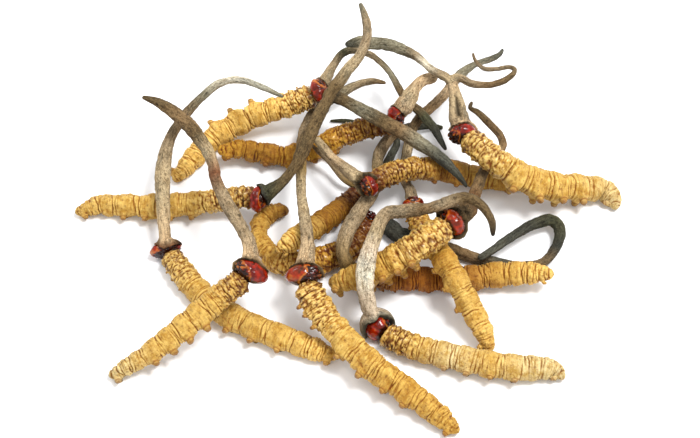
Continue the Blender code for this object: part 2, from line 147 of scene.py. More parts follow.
add_larva(
    "13", "brown amber honey gold gold gold amber", (369, 219, 1.9, 2.2), (362, 234, 2.2, 2.6),
    (350, 248, 2.5, 2.9), (328, 258, 2.6, 3), (303, 264, 2.6, 3), (282, 262, 2.4, 2.8), (267, 250, 2.2, 2.3),
    (260, 236, 2, 1.9), (261, 222, 2, 2), (272, 212, 2, 2.1), (285, 211, 1.6, 1.9),
    belly=-40, leg=0.9, lumps=2, rough=0.6, dark=1, head=(1.05, 1, 0.8), mask=60, edge=0.2,
)
add_larva(
    "14", "brown amber amber tan wheat", (361, 189, 1.8, 2.1), (353, 198, 2.1, 2.4), (340, 209, 2.2, 2.5),
    (322, 222, 4.5, 2.6), (303, 234, 7, 2.6), (290, 242, 8.5, 2.4), (279, 249, 8, 1.8),
    belly=-30, leg=0.3, folds=1.4, lumps=0.6, rough=0.2, dark=0.8, head=(0.8, 0.75, 0.7), mask=90, edge=0.5,
)

# sRGB colours of a pale plate, a plate, the bottom of a fold and the brown of stains. The pale colour is
# also painted on raised spots as a highlight, the fold colour into hollows as shade, and the brown into the
# deep gaps of the crumpled front as shade
SKIN_COLOURS = ((0.86, 0.72, 0.39), (0.68, 0.5, 0.165), (0.5, 0.26, 0.03), (0.32, 0.13, 0.01))

# What red, green and blue are multiplied by where a larva is darker or paler than that. The darker tones
# are partly its own colour and partly painted shade, where a larva lies under others
TONES = {
    "straw": (1.05, 1.25, 2.3), "wheat": (1.25, 1.25, 1.3), "tan": (1, 1, 1), "gold": (0.92, 0.84, 0.65),
    "honey": (0.82, 0.65, 0.25), "amber": (0.48, 0.34, 0.12), "russet": (0.52, 0.28, 0.07),
    "brown": (0.35, 0.16, 0.07),
}

SEGMENT_ENDS = (0, 0.045, 0.095, 0.155, 0.22, 0.3, 0.42, 0.545, 0.67, 0.795, 0.88, 0.945, 1)
LEG_SEGMENTS = (5, 6, 7, 8, 11)
CLAW_SEGMENTS = (1, 2, 3)
LEG_SPREAD = radians(32)  # to either side of the belly
# How far from the head's middle a stalk and a larva start, by the larva's first radius
STALK_START, LARVA_START = 1.15, 0.8

# The ring folds of segments over so many mm long: how far along each is, and its depth and width
SEGMENT_FOLDS = (
    (3, ((1, 0.34, 0.13), (0.7, 0.24, 0.1), (0.8, 0.3, 0.11), (0.9, 0.28, 0.1), (0.13, 0.14, 0.09))),
    (1.8, ((1, 0.34, 0.13), (0.52, 0.2, 0.1), (0.68, 0.26, 0.1), (0.84, 0.26, 0.1), (0.2, 0.12, 0.09))),
    (0, ((1, 0.34, 0.13), (0.36, 0.22, 0.1), (0.7, 0.22, 0.1))),
)
SHORT_FOLDS = 1.6  # to each mm of a larva's length
CRUMB_DEPTH, GRAIN_DEPTH = 0.24, 0.1  # mm
# The dots on a segment: degrees round from the belly, and how far along
DOTS = ((95, 0.35), (-95, 0.35), (140, 0.25), (-140, 0.25), (125, 0.5), (-125, 0.5), (60, 0.3), (-60, 0.3))

RING_STEP = 0.11  # mm along a larva between two rings of its mesh
RING_SIDES = 52
END_RINGS = 12
SKIN_GIRTH = 2.7  # mm, the radius at which the random numbers for the skin are read

DICE_CELLS = 32
DICE = np.random.RandomState(11).uniform(-1, 1, (DICE_CELLS,) * 3)


def place(across, down, height):
    """The point in mm that the photograph shows at this pixel, when it is this high above the table."""
    right = (across - PHOTO_MIDDLE[0]) / LENS_PIXELS
    up = (PHOTO_MIDDLE[1] - down) / LENS_PIXELS
    sine, cosine = sin(EYE_TILT), cos(EYE_TILT)
    rise = height - EYE_AIM
    away = (up * (EYE_DISTANCE - rise * sine) - rise * cosine) / (sine - up * cosine)
    depth = EYE_DISTANCE + away * cosine - rise * sine
    return Vector((right * depth - PILE_MIDDLE[0], away - PILE_MIDDLE[1], height))


def between(before, start, end, after, part):
    """A point on the smooth curve from start to end."""
    bend = 2 * start + (end - before) * part
    bend += (2 * before - 5 * start + 4 * end - after) * part**2
    bend += (3 * start - before - 3 * end + after) * part**3
    return bend / 2


def smooth_curve(stations):
    """Rows of x, y, z and radius in mm, close together along a route."""
    marks = [Vector((*place(across, down, height), radius)) for across, down, height, radius in stations]
    marks = [marks[0], *marks, marks[-1]]
    curve = []
    for before, start, end, after in zip(marks, marks[1:], marks[2:], marks[3:]):
        curve += [between(before, start, end, after, step / CURVE_STEPS) for step in range(CURVE_STEPS)]
    return np.array([*curve, marks[-1]])


def clear_of(curve, centre, distance):
    """The curve from where it is this far from the centre."""
    far = np.linalg.norm(curve[:, :3] - np.array(centre), axis=1) >= distance
    return curve[np.argmax(far):]


def reach_of(curve):
    """How far along the curve each of its points is, in mm."""
    steps = np.linalg.norm(np.diff(curve[:, :3], axis=0), axis=1)
    return np.cumsum([0, *steps])


def at(curve, distances):
    """The curve's points at these distances along it, and straight on past either end."""
    reach = reach_of(curve)
    points = np.stack([np.interp(distances, reach, column) for column in curve.T], axis=1)
    way = (curve[-1, :3] - curve[-3, :3]) / (reach[-1] - reach[-3])
    points[:, :3] += np.maximum(distances - reach[-1], 0)[:, None] * way
    way = (curve[2, :3] - curve[0, :3]) / reach[2]
    points[:, :3] += np.minimum(distances, 0)[:, None] * way
    return points


def smoothed(rows, times):
    """The rows with each one drawn towards its neighbours, so that chords turn into a curve."""
    rows = rows.copy()
    for _ in range(times):
        rows[1:-1] = (rows[:-2] + 2 * rows[1:-1] + rows[2:]) / 4
    return rows


def ring_places(start, last, cap, step, ends):
    """How far along a body its rings are: an even step apart, then ever closer over its blunt end."""
    end_rings = last - cap + cap * np.sin(ends * pi / 2)
    return np.concatenate([np.arange(start, last - cap, step), end_rings])


def blunt(distances, last, cap):
    """What the rings' sizes are multiplied by, so that a body closes in a blunt end as long as cap."""
    return np.sqrt(1 - np.clip((distances - (last - cap)) / cap, 0, 1) ** 2)[:, None]


def spread(distances, length, stops):
    """The colour at each of these distances, from colours spaced evenly over a body's length."""
    where = np.linspace(0, length, len(stops))
    return np.stack([np.interp(distances, where, part) for part in np.transpose(stops)], axis=-1)


def wrapped(turn, girth, along):
    """Points round a tube of this radius, at which the random numbers for a surface are read."""
    return np.stack(np.broadcast_arrays(np.cos(turn) * girth, np.sin(turn) * girth, along), axis=-1)


def ring_angles(sides):
    return np.arange(sides) * 2 * pi / sides


def unit(rows):
    return rows / np.linalg.norm(rows, axis=-1, keepdims=True)


def bumps(points, seed=0):
    """Smooth random numbers from -1 to 1 over points in space, about one bump to each unit."""
    points = points + seed * 5.37
    cell = np.floor(points).astype(int)
    part = points - cell
    part = part * part * (3 - 2 * part)
    total = 0
    for corner in np.ndindex(2, 2, 2):
        weight = 1
        for axis in range(3):
            weight = weight * (part[..., axis] if corner[axis] else 1 - part[..., axis])
        x, y, z = [(cell[..., axis] + corner[axis]) % DICE_CELLS for axis in range(3)]
        total = total + weight * DICE[x, y, z]
    return total


def grains(points):
    """How far each point in space is from the edge of its grain, for grains about one unit across."""
    cell = np.floor(points).astype(int)
    nearest = second = np.full(points.shape[:-1], 9.0)
    for step in np.ndindex(3, 3, 3):
        near = cell + np.array(step) - 1
        x, y, z = [near[..., axis] % DICE_CELLS for axis in range(3)]
        heart = near + 0.5 + 0.48 * np.stack([DICE[x, y, z], DICE[y, z, x], DICE[z, x, y]], axis=-1)
        far = np.linalg.norm(points - heart, axis=-1)
        second = np.minimum(second, np.maximum(nearest, far))
        nearest = np.minimum(nearest, far)
    return second - nearest


def soft_step(value, start, end):
    part = np.clip((value - start) / (end - start), 0, 1)
    return part * part * (3 - 2 * part)


scene = bpy.context.scene


def added(name, data):
    """A new object in the scene, made of this mesh, lamp or camera."""
    thing = bpy.data.objects.new(name, data)
    scene.collection.objects.link(thing)
    return thing


class Body:
    """Closed shells in mm that become one mesh, with values for its material at every point."""

    def __init__(self):
        self.points, self.faces, self.notes, self.count = [], [], {}, 0

    def add_rings(self, rings, **notes):
        """A closed shell through rings of points, an array of ring, side and axis."""
        amount, sides = rings.shape[:2]
        ends = rings[[0, -1]].mean(axis=1)
        start = self.count
        self.points.append(np.concatenate([rings.reshape(-1, 3), ends]))
        index = start + np.arange(amount * sides).reshape(amount, sides)
        after = np.roll(index, -1, axis=1)
        quads = np.stack([index[:-1], after[:-1], after[1:], index[1:]], axis=-1).reshape(-1, 4)
        end = start + amount * sides
        closing = [[end, b, a] for a, b in zip(index[0], after[0])]
        closing += [[end + 1, a, b] for a, b in zip(index[-1], after[-1])]
        middle = rings.mean(axis=1)
        across = np.cross(rings[:, 0] - middle, rings[:, 1] - middle)
        inward = (across[1:-1] * (middle[2:] - middle[:-2])).sum() <= 0
        self.faces += [face[::-1] if inward else face for face in quads.tolist() + closing]
        for name, values in notes.items():
            values = np.asarray(values, float)
            flat = values.reshape(amount * sides, -1)
            caps = values.reshape(amount, sides, -1)[[0, -1]].mean(axis=1)
            self.notes.setdefault(name, []).append(np.concatenate([flat, caps]))
        self.count += amount * sides + 2

    def make(self, name, material):
        points = np.concatenate(self.points)
        points[:, 2] = np.maximum(points[:, 2], 0)
        mesh = bpy.data.meshes.new(name)
        mesh.from_pydata((points * MM).tolist(), [], self.faces)
        mesh.shade_smooth()
        mesh.materials.append(material)
        for note, values in self.notes.items():
            values = np.concatenate(values)
            kind, field = ("FLOAT", "value") if values.shape[1] == 1 else ("FLOAT_VECTOR", "vector")
            mesh.attributes.new(note, kind, "POINT").data.foreach_set(field, values.ravel())
        return added(name, mesh)


def linear(colour):
    """Linear red, green, blue and alpha from sRGB."""
    parts = [part / 12.92 if part <= 0.04045 else ((part + 0.055) / 1.055) ** 2.4 for part in colour]
    return (*parts, 1)


class Finish:
    """A material's nodes, one call for each."""

    def __init__(self, name, **surface):
        self.material = bpy.data.materials.new(name)
        self.material.use_nodes = True
        self.tree = self.material.node_tree
        self.shader = self.tree.nodes["Principled BSDF"]
        for socket, value in surface.items():
            self.shader.inputs[socket.replace("_", " ")].default_value = value

    def drive(self, socket, source):
        self.tree.links.new(source, self.shader.inputs[socket])

    def node(self, kind, links=(), **settings):
        node = self.tree.nodes.new(kind)
        for key, value in settings.items():
            setattr(node, key, value)
        for socket, source in dict(links).items():
            if isinstance(source, bpy.types.NodeSocket):
                self.tree.links.new(source, node.inputs[socket])
            else:
                node.inputs[socket].default_value = source
        return node

    def note(self, name, output="Fac"):
        return self.node("ShaderNodeAttribute", attribute_name=name).outputs[output]

    def clouds(self, place, scale, detail=3.0, stretch=(1, 1, 1), roughness=0.55):
        moved = self.node("ShaderNodeMapping", {"Vector": place, "Scale": stretch}).outputs[0]
        links = {"Vector": moved, "Scale": scale, "Detail": detail, "Roughness": roughness}
        return self.node("ShaderNodeTexNoise", links).outputs["Fac"]

    def range(self, value, low, high, to_low=0.0, to_high=1.0):
        links = {"Value": value, "From Min": low, "From Max": high, "To Min": to_low, "To Max": to_high}
        return self.node("ShaderNodeMapRange", links).outputs[0]

    def mix(self, share, first, second, blend="MIX"):
        links = {"Factor": share, 6: first, 7: second}
        return self.node("ShaderNodeMix", links, data_type="RGBA", blend_type=blend).outputs[2]

    def coats(self, colour, rows):
        """The colour under others, each of which covers up to a share of it as a value rises."""
        for value, low, high, share, coat in rows:
            colour = self.mix(self.range(value, low, high, 0, share), colour, coat)
        return colour

    def relief(self, *rows):
        """Fine bumps on the surface, from heights and their depths in mm."""
        links = {"Strength": 1.0}
        for height, depth in rows:
            links.update({"Height": height, "Distance": depth * MM})
            links["Normal"] = self.node("ShaderNodeBump", links).outputs[0]
        self.drive("Normal", links["Normal"])


def larva_finish():
    finish = Finish("larva_skin", Specular_IOR_Level=0.22, Coat_Roughness=0.2)
    light, plate, fold, stain = [linear(colour) for colour in SKIN_COLOURS]
    skin = finish.note("skin", "Vector")
    broad = finish.clouds(skin, 0.6, 3)
    lines = finish.clouds(skin, 1.0, 4, (0.55, 0.55, 3.6), 0.6)
    wrinkles = finish.clouds(skin, 1.5, 4, (1.4, 1.4, 0.4), 0.6)
    grain = finish.clouds(skin, 2.4, 5, roughness=0.7)
    fine = finish.clouds(skin, 7.0, 2)
    colour = finish.mix(finish.range(broad, 0.38, 0.62, 0, 0.6), plate, light)
    # Raised spots get the pale colour as a painted highlight, and hollows the fold colour as painted shade
    colour = finish.coats(finish.mix(finish.note("crest"), colour, light), (
        (lines, 0.54, 0.7, 0.45, fold),
        (grain, 0.52, 0.66, 0.75, fold),
        (fine, 0.55, 0.7, 0.6, light),
        (finish.note("hollow"), 0.1, 0.9, 0.92, fold),
    ))
    colour = finish.mix(1.0, colour, finish.note("tint", "Vector"), "MULTIPLY")
    finish.drive("Base Color", finish.coats(colour, ((finish.note("stain"), 0, 1, 0.92, stain),)))
    finish.drive("Roughness", finish.range(finish.note("wet"), 0, 1, 0.55, 0.3))
    finish.drive("Coat Weight", finish.range(finish.note("wet"), 0.1, 1, 0, 0.8))
    finish.relief((lines, 0.18), (wrinkles, 0.12), (grain, 0.32), (fine, 0.05))
    return finish.material


def blurred(rows, times):
    """The rows of a ring mesh with every number drawn towards those beside it, along and round the body."""
    for _ in range(times):
        rows = (np.roll(rows, 1, axis=1) + 6 * rows + np.roll(rows, -1, axis=1)) / 8
        rows = (np.concatenate([rows[:1], rows[:-1]]) + 2 * rows + np.concatenate([rows[1:], rows[-1:]])) / 4
    return rows


def crease(distance, width):
    """A narrow valley, one deep at its middle."""
    return np.exp(-((np.abs(distance) / width) ** 1.3))


def wander(turn, dice, amount):
    """How far a ring fold strays along the body at each angle round it."""
    total = 0
    for waves in (1, 2, 3, 5):
        total = total + dice.normal(0, amount / waves**0.7) * np.sin(waves * turn + dice.uniform(0, 7))
    return total


def larva_form(number, larva):
    """The larva's body, with its legs."""
    dice = np.random.RandomState(int(number) * 7 + 3)
    stations = larva["route"]
    centre, head_radius = place(*stations[0][:3]), stations[0][3]
    curve = clear_of(smooth_curve(stations), centre, LARVA_START * head_radius)
    length = reach_of(curve)[-1]
    tail_radius = curve[-1, 3]
    end_cap = 1.1 * tail_radius
    last = length + 0.5 * tail_radius
    neck = larva["neck"] * head_radius
    distances = ring_places(neck, last, end_cap, RING_STEP, np.linspace(0.04, 0.995, END_RINGS))
    line = smoothed(at(curve, distances), 12)
    centres, radii = line[:, :3], line[:, 3]
    ahead = unit(np.gradient(centres, axis=0))
    side = unit(np.cross(ahead, (0, 0, 1)))
    up = np.cross(side, ahead)
    angle = ring_angles(RING_SIDES)
    turn = angle - radians(larva["belly"])
    turn = (turn + pi) % (2 * pi) - pi
    along = distances[:, None] + 0 * turn
    turns = turn + 0 * along
    radius = radii[:, None] + 0 * turns
    skin = wrapped(turns, SKIN_GIRTH, along)

    # The plates swell between the main folds, and each one's hind end is gathered in finer ones
    ends = np.array(SEGMENT_ENDS) * length
    part = np.clip(np.searchsorted(ends, distances) - 1, 0, len(ends) - 2)
    share = np.clip((distances - ends[part]) / (ends[part + 1] - ends[part]), 0, 1)
    swell = 0.965 + 0.06 * np.sin(pi * np.clip(share / 0.6, 0, 1)) ** 0.7
    radius = radius * swell[:, None]
    carved = np.zeros_like(radius)
    for begin, end in zip(ends, ends[1:]):
        long = end - begin
        for place_in, depth, width in next(folds for over, folds in SEGMENT_FOLDS if long > over):
            middle = begin + long * (place_in + dice.uniform(-0.03, 0.03))
            path = middle + wander(turn, dice, 0.15)
            strength = np.clip(0.8 + wander(turn, dice, 0.45), 0.0, 1.3)
            carved += depth * larva["folds"] * strength * crease(along - path, width)
    # Short folds that stop part of the way round
    for _ in range(int(length * SHORT_FOLDS)):
        middle = dice.uniform(0, length)
        facing = dice.uniform(-pi, pi)
        off = (turn - facing + pi) % (2 * pi) - pi
        fade = np.exp(-((off / dice.uniform(0.25, 0.7)) ** 2))
        path = middle + dice.uniform(-0.5, 0.5) * off + wander(turn, dice, 0.05)
        carved += dice.uniform(0.08, 0.22) * larva["folds"] * fade * crease(along - path, 0.085)

    rough = 1 - soft_step(along, larva["rough"] * length * 0.6, larva["rough"] * length * 1.3)
    carved *= 1 - 0.2 * rough

    # A crease runs down either side above the legs, scalloped from segment to segment
    scallop = radians(62) + radians(9) * np.sin(2 * pi * share)[:, None]
    side_crease = crease((np.abs(turns) - scallop) * radius, 0.22)
    carved += 0.13 * side_crease * (0.6 + 0.5 * bumps(skin * 0.8, 3))
    flap = np.exp(-(((np.abs(turns) - radians(46)) / 0.22) ** 2))
    flap = flap * np.sin(pi * share)[:, None] ** 0.6

    # The front is crumpled into glossy grains, where the fungus broke the skin
    stray = 0.5 * np.stack([bumps(skin * 0.7, seed) for seed in (11, 12, 13)], axis=-1)
    crumbs = soft_step(grains(skin * (0.7, 0.7, 0.9) + stray + int(number) * 3.7), 0.0, 0.36)
    carved += (0.03 + rough * (CRUMB_DEPTH + 0.14 * bumps(skin * 0.9, 14))) * (1 - crumbs)
    crumbs = soft_step(grains(skin * (1.7, 1.7, 2.0) + int(number) * 1.3), 0.0, 0.25)
    carved += (0.03 + GRAIN_DEPTH * rough) * (1 - crumbs)

    broad = 0.16 * larva["lumps"] * bumps(skin * 0.55, 1) + 0.09 * larva["lumps"] * bumps(skin * 1.3, 2)
    close = (0.045 + 0.06 * rough) * bumps(skin * 3.1, 4)
    close = close + rough * (0.08 + 0.12 * bumps(skin * 1.6, 9)) - carved
    radius = radius + broad + close + 0.13 * larva["lumps"] * flap
    radius = radius * (1 - 0.16 * soft_step(along, ends[-2] - 0.15, ends[-2] + 0.25))

    # Legs stand on low mounds, in pairs
    feet = []
    thickest = radii.max()
    for segment in (*LEG_SEGMENTS, *CLAW_SEGMENTS):
        clawed = segment in CLAW_SEGMENTS
        middle = (ends[segment] + ends[segment + 1]) / 2
        body = np.interp(middle, distances, radii)
        tall = larva["claw"] if clawed else larva["leg"] * body / thickest
        for facing in (-LEG_SPREAD, LEG_SPREAD):
            off = (turns - facing) * body / (0.55 + 0.5 * tall)
            radius = radius + 0.35 * tall * np.exp(-(off**2) - ((along - middle) / (0.6 + 0.3 * tall)) ** 2)
            feet.append((middle, facing, tall, clawed))

    # Hollows below the smoothed surface are painted with the fold colour as shade, and raised spots with the
    # pale colour as a highlight
    proud = close + 0.4 * broad
    proud = proud - blurred(proud, 24)
    hollow = np.clip((-proud - 0.02) / 0.16, 0, 1)
    crest = np.clip(proud / 0.1, 0, 1)

    # The neck slips under the head and the tail closes in a blunt end
    radius = radius * (0.62 + 0.38 * soft_step(along, neck, 0.25 * head_radius))
    radius = radius * blunt(distances, last, end_cap)

    way = side[:, None] * np.sin(angle)[:, None] - up[:, None] * np.cos(angle)[:, None]
    rings = centres[:, None] + way * radius[..., None]

    # Brown dots where the larva breathed, stains round the torn front, painted shade in the deep gaps of the
    # crumpled front, and darker skin where the neck meets the head
    stain = np.zeros_like(radius)
    for begin, end in zip(ends[2:], ends[3:]):
        for facing, place_in in DOTS:
            middle = begin + (end - begin) * (place_in + dice.uniform(-0.04, 0.04))
            off = (turns - radians(facing + dice.uniform(-5, 5))) * radius
            dot = np.hypot(off, along - middle)
            stain += dice.uniform(0.4, 0.9) * np.exp(-(dot / dice.uniform(0.16, 0.28)) ** 2)
    patches = soft_step(bumps(skin * 0.9, 6) + 0.6 * bumps(skin * 2.2, 7), 0.25, 0.75)
    front = 1 - soft_step(along, larva["rough"] * length * 0.2, larva["rough"] * length)
    stain += front * patches * 0.9
    # Painted shade in the deep gaps of the crumpled front
    stain += rough * larva["dark"] * soft_step(carved, 0.24, 0.42)
    stain += np.exp(-((along / 0.8) ** 2)) * 0.45
    tints = spread(distances, length, [TONES[tone] for tone in larva["tones"]])

    body = Body()
    wet = rough * (0.2 + 0.8 * crest) * (1 - hollow)
    stain, colour = np.clip(stain, 0, 1), tints[:, None] + 0 * rings
    body.add_rings(rings, skin=skin, hollow=hollow, crest=crest, stain=stain, wet=wet, tint=colour)
    for middle, facing, tall, clawed in feet:
        row = int(np.argmin(np.abs(distances - middle)))
        angle = facing + radians(larva["belly"])
        out = side[row] * sin(angle) - up[row] * cos(angle)
        base = centres[row] + out * radii[row] * 0.98
        add_foot(body, dice, base, out, ahead[row], tall, clawed, tints[row])
    return body


FOOT_SIDES = 14
# How far up a foot each ring is, and how wide, as shares of its height and its base
FOOT_RINGS = (
    (-0.9, 1), (-0.2, 1), (0.2, 0.95), (0.42, 0.88), (0.5, 0.72), (0.58, 0.76), (0.85, 0.64), (1, 0.38),
    (1.02, 0.1),
)


def add_foot(body, dice, base, out, way, tall, clawed, tint):
    """One short leg: a fleshy cone that ends in a brown pad, or in a claw near the head."""
    over = np.cross(out, way)
    wide = 0.15 + 0.37 * tall if clawed else 0.46 + 0.36 * tall
    tall = tall + 0.1
    turn = ring_angles(FOOT_SIDES)
    lean = way * dice.uniform(-0.25, 0.25) + over * dice.uniform(-0.2, 0.2)
    rings = []
    for high, share in FOOT_RINGS:
        width = wide * share * (1 + 0.12 * np.sin(3 * turn + dice.uniform(0, 7)))
        ring = base + out * (high * tall) + lean * (max(high, 0) * tall)
        ring = ring + np.cos(turn)[:, None] * way * width[:, None]
        rings.append(ring + np.sin(turn)[:, None] * over * width[:, None])
    rings = np.array(rings)
    heights = np.array([high for high, _ in FOOT_RINGS])[:, None] + 0 * turn
    tip = soft_step(heights, 0.35, 1.0)
    skin = wrapped(turn, wide, heights * tall) + dice.uniform(0, 30)
    # The foot's waist, and its base where it meets the body, get the fold colour as painted shade, and its
    # tip the browns of its pad; below the tip it gets a little of the pale colour
    hollow = np.exp(-(((heights - 0.46) / 0.06) ** 2)) + np.exp(-((heights / 0.2) ** 2)) * 0.6 + 0.5 * tip
    stain = tip * (0.85 if clawed else 0.3)
    crest, wet, colour = 0.4 - 0.4 * tip, 0.5 * tip, 0 * rings + tint
    body.add_rings(rings, skin=skin, hollow=hollow, crest=crest, stain=stain, wet=wet, tint=colour)


skin_material = larva_finish()
for number, larva in LARVAE.items():
    piece = larva_form(number, larva).make(f"dried_larva_{number}", skin_material)
    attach(piece, "root")
    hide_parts(f"larva_{number}")


# ---- The heads ----
# The larva's head is a hard capsule of red-brown horn, as glossy as lacquer. Seams split it into two round
# lobes, with a dark mask and jaws in front. It still sits on the larva's neck.

CAPSULE_SIDES, CAPSULE_RINGS = 56, 40
# sRGB red, deep red, black and amber. Black is also painted into the seam and between the mask's knobs as
# shade, and amber on the knobs' tops as a highlight
HEAD_COLOURS = ((0.56, 0.1, 0.0), (0.33, 0.035, 0.0), (0.09, 0.025, 0.008), (0.72, 0.42, 0.13))
SEAM_DEPTH, KNOB_DEPTH, EDGE_DEPTH = 0.12, 0.14, 0.06  # by the head's size
EYE_WAY = np.array((0, -cos(EYE_TILT), sin(EYE_TILT)))
EYE_UP = np.array((0, sin(EYE_TILT), cos(EYE_TILT)))


def head_axes(larva):
    """The head's middle, its half sizes in mm, and the ways across it, through it and to the tail."""
    curve = smooth_curve(larva["route"])
    ahead = unit(curve[CURVE_STEPS, :3] - curve[0, :3])
    across = unit(np.cross(ahead, EYE_WAY))
    tilt = radians(larva["tilt"])
    sine, cosine = sin(tilt), cos(tilt)
    across, ahead = [
        way * cosine + np.cross(EYE_WAY, way) * sine + EYE_WAY * (way @ EYE_WAY) * (1 - cosine)
        for way in (across, ahead)
    ]
    axes = np.array([across, np.cross(ahead, across), ahead])
    return curve[0, :3], curve[0, 3] * np.array(larva["head"]), axes


def head_form(number, larva):
    middle, size, axes = head_axes(larva)
    polar = np.linspace(0.02, pi - 0.02, CAPSULE_RINGS)[:, None]
    turn = ring_angles(CAPSULE_SIDES)
    way = wrapped(turn, np.sin(polar), np.cos(polar))
    seed = int(number)
    # The mask, with the eyes and jaws, is a dark cluster of knobs on one side of the head
    angle = radians(larva["mask"])
    mask_way = unit(np.array((cos(angle), 0, 0)) + sin(angle) * EYE_UP + 0.25 * EYE_WAY)
    ways = unit((way * size) @ axes)
    reach = ways @ mask_way + 0.25 * bumps(way * 1.7, seed) - larva["edge"]
    mask = soft_step(reach, 0.0, 0.15)
    knobs = soft_step(grains(way * 2.1 + seed * 2.3), 0.0, 0.4)
    seam = crease(way[..., 0] - 0.1 + 0.12 * bumps(way * 2, seed), 0.06)
    edge = crease(reach, 0.06)
    swell = 1 - SEAM_DEPTH * seam * (1 - mask) - KNOB_DEPTH * mask * (1 - knobs) - EDGE_DEPTH * edge
    swell = swell + 0.03 * bumps(way * 2.2, seed) + 0.03 * bumps(way * 4, seed + 3)
    swell = swell + 0.012 * bumps(way * 7, seed + 1)
    spots = way * swell[..., None] * size
    rings = middle + spots @ axes
    # The mask is darkened as the head's own colour; the seam and the gaps between the mask's knobs are
    # darkened as painted shade, and the head is darker towards the neck. Pale is the glow of the horn, a
    # line along the mask's edge and a painted highlight on the tops of the mask's knobs
    dark = np.clip(0.75 * seam + mask * (0.5 + 0.5 * (1 - knobs)) + soft_step(way[..., 2], 0.45, 0.8), 0, 1)
    dark = np.clip(dark + 0.35 * soft_step(bumps(way * 1.8, seed + 4), 0.25, 0.6), 0, 1)
    pale = larva["glow"] * (1 - mask) + 0.8 * edge
    pale = np.clip(pale + 0.7 * soft_step(bumps(way * 4.2, seed + 2), 0.1, 0.5) * mask * knobs, 0, 1)
    body = Body()
    body.add_rings(rings, shell=spots, dark=dark, pale=pale)
    return body


def head_finish():
    red, deep, black, amber = [linear(colour) for colour in HEAD_COLOURS]
    finish = Finish("head_capsule_horn", Specular_IOR_Level=0.08, Coat_Weight=0.5, Coat_Roughness=0.1)
    shell = finish.note("shell", "Vector")
    clouds = finish.clouds(shell, 0.7, 2)
    finish.drive("Base Color", finish.coats(finish.mix(finish.range(clouds, 0.38, 0.62), deep, red), (
        (finish.clouds(shell, 0.45, 2), 0.6, 0.72, 0.6, amber),
        (finish.note("dark"), 0.1, 0.9, 0.96, black),
        (finish.note("pale"), 0.2, 0.9, 0.85, amber),
    )))
    finish.drive("Roughness", finish.range(clouds, 0.3, 0.7, 0.1, 0.22))
    finish.relief((finish.clouds(shell, 2.2, 3), 0.1))
    return finish.material


horn = head_finish()
for number, larva in LARVAE.items():
    piece = head_form(number, larva).make(f"head_capsule_{number}", horn)
    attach(piece, "root")
    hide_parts(f"head_{number}")


# ---- The stalks ----
# The fungus's fruiting body grows out of the larva's head as a long thin club, and dries to a bent,
# wrinkled stalk of grey-brown bark. Its foot spreads over the head like a torn hood.

STALKS = {}


def add_stalk(name, tints, *route, **traits):
    """A stalk's colours and stations from foot to tip, and its traits.

    hood is how many degrees down the head the foot spreads, open the share of that which is missing on the
    camera's side, thick how far it stands off the head and cleft how long the split in the stalk is, in mm.
    """
    usual = dict(slot="stalk_pale", hood=0, open=0.3, thick=0.3, cleft=0)
    STALKS[name] = {**usual, **traits, "tints": tints.split(), "route": route}


add_stalk(
    "stalk_01", "clay ash ash stone taupe dove bone silver dove", (164, 242, 4.5, 1.6), (164, 225, 6.5, 1.5),
    (163, 200, 8, 1.65), (163, 172, 9.5, 1.75), (169, 141, 11, 1.2), (185, 115, 12.5, 1.1),
    (202, 97, 14, 0.9), (220, 83, 15.5, 0.9), (240, 80, 17.5, 0.9), (262, 87, 19, 0.8),
    (283, 97, 20.5, 0.35),
    slot="stalk_grey", hood=72, open=0.15, thick=0.5, foot="umber",
)
add_stalk(
    "stalk_02", "clay stone stone stone rust ash drab taupe drab drab", (255, 262, 13.5, 2),
    (251, 248, 14, 1.7), (246, 236, 14.5, 1.6), (238, 222, 15, 1.6), (226, 202, 15.5, 1.6),
    (216, 180, 16, 1.35), (213, 164, 16.5, 1.25), (205, 147, 17, 1.4), (190, 126, 17.5, 1.6),
    (175, 113, 18, 1.5), (157, 102, 18.5, 1.1), (142, 97, 19, 0.4),
    slot="stalk_grey", hood=98, open=0.62, thick=0.6, foot="taupe",
)
add_stalk(
    "stalk_03", "clay stone ash ash olive taupe stone drab dove ash taupe", (308, 263, 13.5, 2.1),
    (308, 250, 13, 1.8), (307, 234, 12.5, 1.5), (304, 214, 12, 1.4), (301, 192, 10.5, 1.2),
    (301, 168, 9, 1.15), (301, 148, 7.5, 1.1), (305, 130, 6, 1.2), (313, 114, 4.5, 1.2), (326, 102, 5, 1.2),
    (338, 95, 5.5, 1.2), (350, 88, 6, 1), (362, 83, 7, 0.9), (374, 81, 7.5, 0.8), (386, 83, 8, 0.4),
    hood=72, open=0.5, thick=0.5, foot="taupe",
)
add_stalk(
    "stalk_04", "moss drab drab drab drab drab ash stone stone dove", (266, 196, 8, 2), (272, 190, 9, 1.6),
    (280, 184, 10.5, 1.2), (289, 174, 11.5, 1.05), (297, 163, 13, 1.25), (302, 152, 14.5, 1.45),
    (307, 140, 15.5, 1.5), (314, 126, 17, 1.35), (320, 114, 18, 1.35), (326, 103, 19, 1.4),
    (332, 91, 20.5, 1.45), (339, 82, 21.5, 1.45), (347, 71, 22.5, 1.4), (360, 55, 23.5, 1.3),
    (367, 37, 24.5, 1.1), (366, 20, 25.5, 0.9), (360, 3, 26.5, 0.4),
    slot="stalk_grey", hood=66, open=0.35, thick=0.5, foot="coal",
)
add_stalk(
    "stalk_05_upper", "ash stone moss stone ash dove drab taupe moss coal coal", (326, 78, 11, 1.4),
    (333, 66, 11, 1), (342, 54, 10.5, 0.9), (353, 50, 10.5, 0.9), (369, 54, 10, 0.8), (379, 61, 10, 0.8),
    (388, 70, 9.5, 0.8), (394, 79, 9.5, 0.8), (401, 92, 9, 0.9), (409, 103, 9, 1), (418, 110, 8.5, 1.1),
    (427, 120, 8.5, 1.05), (435, 130, 8, 0.9), (441, 141, 8, 0.7), (446, 150, 7.5, 0.35),
    slot="stalk_dark", hood=40, foot="stone",
)
